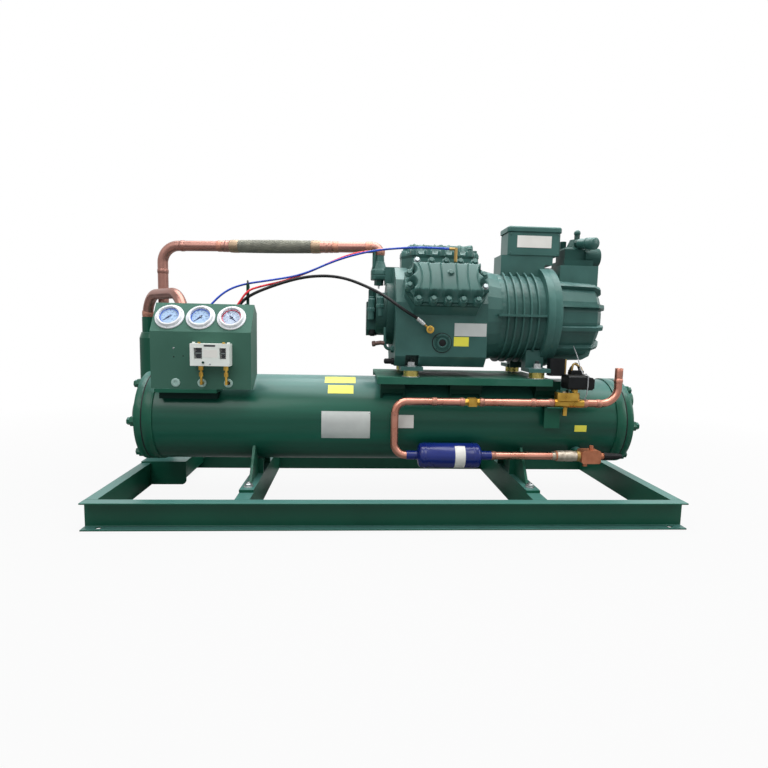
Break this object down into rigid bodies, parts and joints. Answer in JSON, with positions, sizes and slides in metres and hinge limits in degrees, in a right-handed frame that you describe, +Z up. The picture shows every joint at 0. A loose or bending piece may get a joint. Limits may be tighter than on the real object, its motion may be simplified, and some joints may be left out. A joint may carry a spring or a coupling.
{
  "type": "water-cooled refrigeration condensing unit",
  "caption": "Water-cooled condensing unit: finned semi-hermetic compressor over a shell-and-tube condenser on a channel base, with gauge panel, oil separator and liquid line.",
  "frame": {"origin": "centre of the base frame's underside", "axes": "+Z up, +X along the base towards the liquid outlet, the gauge panel's front faces -Y"},
  "size_m": [2.0409, 0.8, 1.054],
  "materials": {
    "frame_paint": "glossy",
    "shell_paint": "glossy",
    "compressor_paint": "satin",
    "panel_paint": "satin",
    "drier_paint": "glossy",
    "control_paint": "satin",
    "copper": "brushed",
    "braid": "braided",
    "steel": "satin",
    "zinc": "yellow passivated",
    "brass": "satin",
    "gauge_metal": "polished",
    "clear": "clear",
    "needle_black": "satin",
    "black_plastic": "matte",
    "blue_rubber": "satin",
    "red_rubber": "satin",
    "black_rubber": "satin",
    "gasket": "matte",
    "iron": "machined",
    "sheet_steel": "satin",
    "green_button": "gloss"
  },
  "bodies": {
    "unit": {"base_cross_channels": "frame_paint", "base_long_channels": "frame_paint", "black_hose": "black_rubber", "blue_hose": "blue_rubber", "compressor_body": "compressor_paint", "compressor_deck": "frame_paint", "compressor_mounts": "zinc", "condenser_saddles": "frame_paint", "condenser_shell": "shell_paint", "condenser_tubes": "copper", "control_fittings": "brass", "control_panel": "panel_paint", "cover_gaskets": "gasket", "cylinder_heads": "compressor_paint", "deck_supports": "frame_paint", "discharge_pipes": "copper", "discharge_valve": "compressor_paint", "end_covers": "shell_paint", "filter_drier": "drier_paint", "gauge_cases": "gauge_metal", "gauge_lenses": "clear", "head_bolts": "steel", "hose_fittings": "brass", "large_bolts": "steel", "liquid_indicator": "brass", "liquid_pipes": "copper", "liquid_valve": "copper", "liquid_valve_cap": "black_plastic", "motor_end_cover": "compressor_paint", "motor_stator": "sheet_steel", "oil_pump_cover": "compressor_paint", "oil_separator": "frame_paint", "oil_sight_glass": "compressor_paint", "panel_bracket": "frame_paint", "pressure_control": "control_paint", "red_hose": "red_rubber", "separator_base": "frame_paint", "solenoid_bracket": "frame_paint", "solenoid_coil": "black_plastic", "solenoid_valve": "brass", "suction_valve": "compressor_paint", "suction_valve_cap": "compressor_paint", "terminal_box": "compressor_paint", "terminal_box_lid": "compressor_paint", "tube_sheets": "shell_paint", "valve_plates": "iron", "vibration_eliminator": "braid"},
    "running_gear": {"crankshaft": "iron", "motor_rotor": "sheet_steel"},
    "left_needle": {"gauge_needle_left": "needle_black"},
    "middle_needle": {"gauge_needle_middle": "needle_black"},
    "right_needle": {"gauge_needle_right": "needle_black"},
    "low_screw": {"low_pressure_screw": "steel"},
    "high_screw": {"high_pressure_screw": "steel"},
    "low_pointer": {"low_pressure_pointer": "black_plastic"},
    "high_pointer": {"high_pressure_pointer": "black_plastic"},
    "button": {"reset_button": "green_button"},
    "discharge_spindle": {"discharge_valve_stem": "steel"},
    "suction_spindle": {"suction_valve_stem": "steel"},
    "liquid_spindle": {"liquid_valve_stem": "steel"}
  },
  "joints": [
    {"name": "crankshaft_spin", "type": "hinge", "parent": "unit", "child": "running_gear", "pos_m": [0.2, 0, 0.715], "axis": [1, 0, 0], "continuous": true},
    {"name": "left_needle_turn", "type": "hinge", "parent": "unit", "child": "left_needle", "pos_m": [-0.787, -0.16009, 0.6863], "axis": [0, 0.8192, -0.5736], "range_deg": [0, 270]},
    {"name": "middle_needle_turn", "type": "hinge", "parent": "unit", "child": "middle_needle", "pos_m": [-0.68, -0.16009, 0.6863], "axis": [0, 0.8192, -0.5736], "range_deg": [0, 270]},
    {"name": "right_needle_turn", "type": "hinge", "parent": "unit", "child": "right_needle", "pos_m": [-0.573, -0.16009, 0.6863], "axis": [0, 0.8192, -0.5736], "range_deg": [-270, 0]},
    {"name": "low_screw_turn", "type": "hinge", "parent": "unit", "child": "low_screw", "pos_m": [-0.67, -0.217, 0.595], "axis": [0, 0, 1], "range_deg": [-1080, 1080]},
    {"name": "low_pointer_slide", "type": "slide", "parent": "unit", "child": "low_pointer", "axis": [0, 0, 1], "range_m": [-0.012, 0.012]},
    {"name": "high_screw_turn", "type": "hinge", "parent": "unit", "child": "high_screw", "pos_m": [-0.587, -0.217, 0.595], "axis": [0, 0, 1], "range_deg": [-1080, 1080]},
    {"name": "high_pointer_slide", "type": "slide", "parent": "unit", "child": "high_pointer", "axis": [0, 0, 1], "range_m": [-0.012, 0.012]},
    {"name": "reset_button_press", "type": "slide", "parent": "unit", "child": "button", "axis": [0, 1, 0], "range_m": [0, 0.003], "stiffness_N_per_m": 300, "springref_m": -0.001},
    {"name": "discharge_spindle_turn", "type": "hinge", "parent": "unit", "child": "discharge_spindle", "pos_m": [-0.042, 0.1, 0.85], "axis": [0, 0, -1], "range_deg": [0, 2160]},
    {"name": "suction_spindle_turn", "type": "hinge", "parent": "unit", "child": "suction_spindle", "pos_m": [0.712, -0.034, 1], "axis": [0.4028, -0.9073, -0.1208], "range_deg": [0, 2160]},
    {"name": "liquid_spindle_turn", "type": "hinge", "parent": "unit", "child": "liquid_spindle", "pos_m": [0.772, -0.2, 0.205], "axis": [1, 0, 0], "range_deg": [0, 1800]}
  ],
  "couplings": [
    {"joint": "low_screw_turn", "follows": "low_pointer_slide", "rad_per_m": 1569.2},
    {"joint": "high_screw_turn", "follows": "high_pointer_slide", "rad_per_m": 1569.2}
  ]
}
